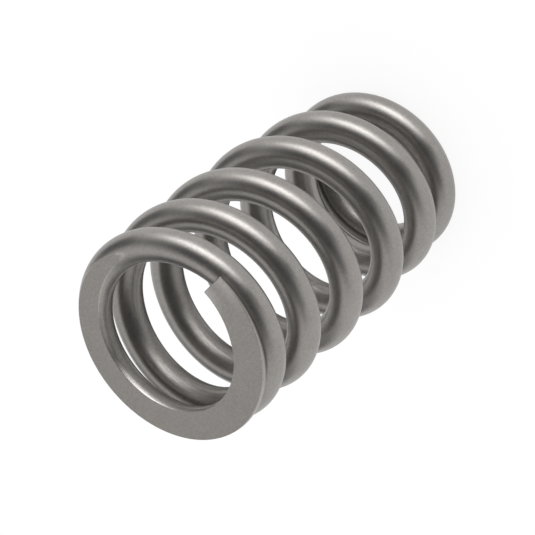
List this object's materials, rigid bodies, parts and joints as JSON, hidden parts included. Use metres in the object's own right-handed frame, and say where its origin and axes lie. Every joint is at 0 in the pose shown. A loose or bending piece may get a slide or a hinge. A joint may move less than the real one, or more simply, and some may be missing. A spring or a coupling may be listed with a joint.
{
  "type": "engine valve spring",
  "caption": "Beehive compression spring of round steel wire, closed and ground flat at both ends, that shuts an engine's valve.",
  "frame": {"origin": "centre of the ring that the spring stands on, at the narrow end's ground face", "axes": "+Z along the coil's axis, from the narrow end up to the wide end; the wide tip lies on -X, the narrow tip 36 degrees from +X towards -Y"},
  "size_m": [0.0328, 0.0328, 0.0582],
  "materials": {
    "spring_steel": "shot-peened spring steel, satin, with plain ground end faces"
  },
  "bodies": {
    "root": {"valve_spring": "spring_steel"}
  },
  "joints": []
}
